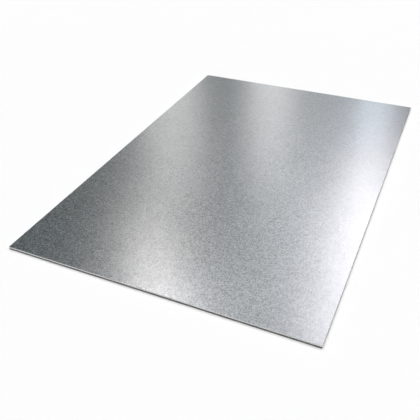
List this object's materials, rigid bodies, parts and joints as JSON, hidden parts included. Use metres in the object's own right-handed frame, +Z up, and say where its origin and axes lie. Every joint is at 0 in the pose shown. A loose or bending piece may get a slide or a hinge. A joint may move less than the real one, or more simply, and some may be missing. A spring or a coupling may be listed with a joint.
{
  "type": "flat galvanized steel sheet",
  "caption": "Flat rectangular galvanized steel sheet with a fine-spangle zinc face, sheared edges and barely rounded corners.",
  "frame": {"origin": "middle of the bottom face, the face that the sheet lies on", "axes": "+Z up through the thickness, X along the short sides, Y along the long sides"},
  "size_m": [0.2, 0.3, 0.002],
  "materials": {
    "galvanized_steel": "satin zinc coating with fine, barely visible spangle"
  },
  "bodies": {
    "root": {"galvanized_sheet": "galvanized_steel"}
  },
  "joints": []
}
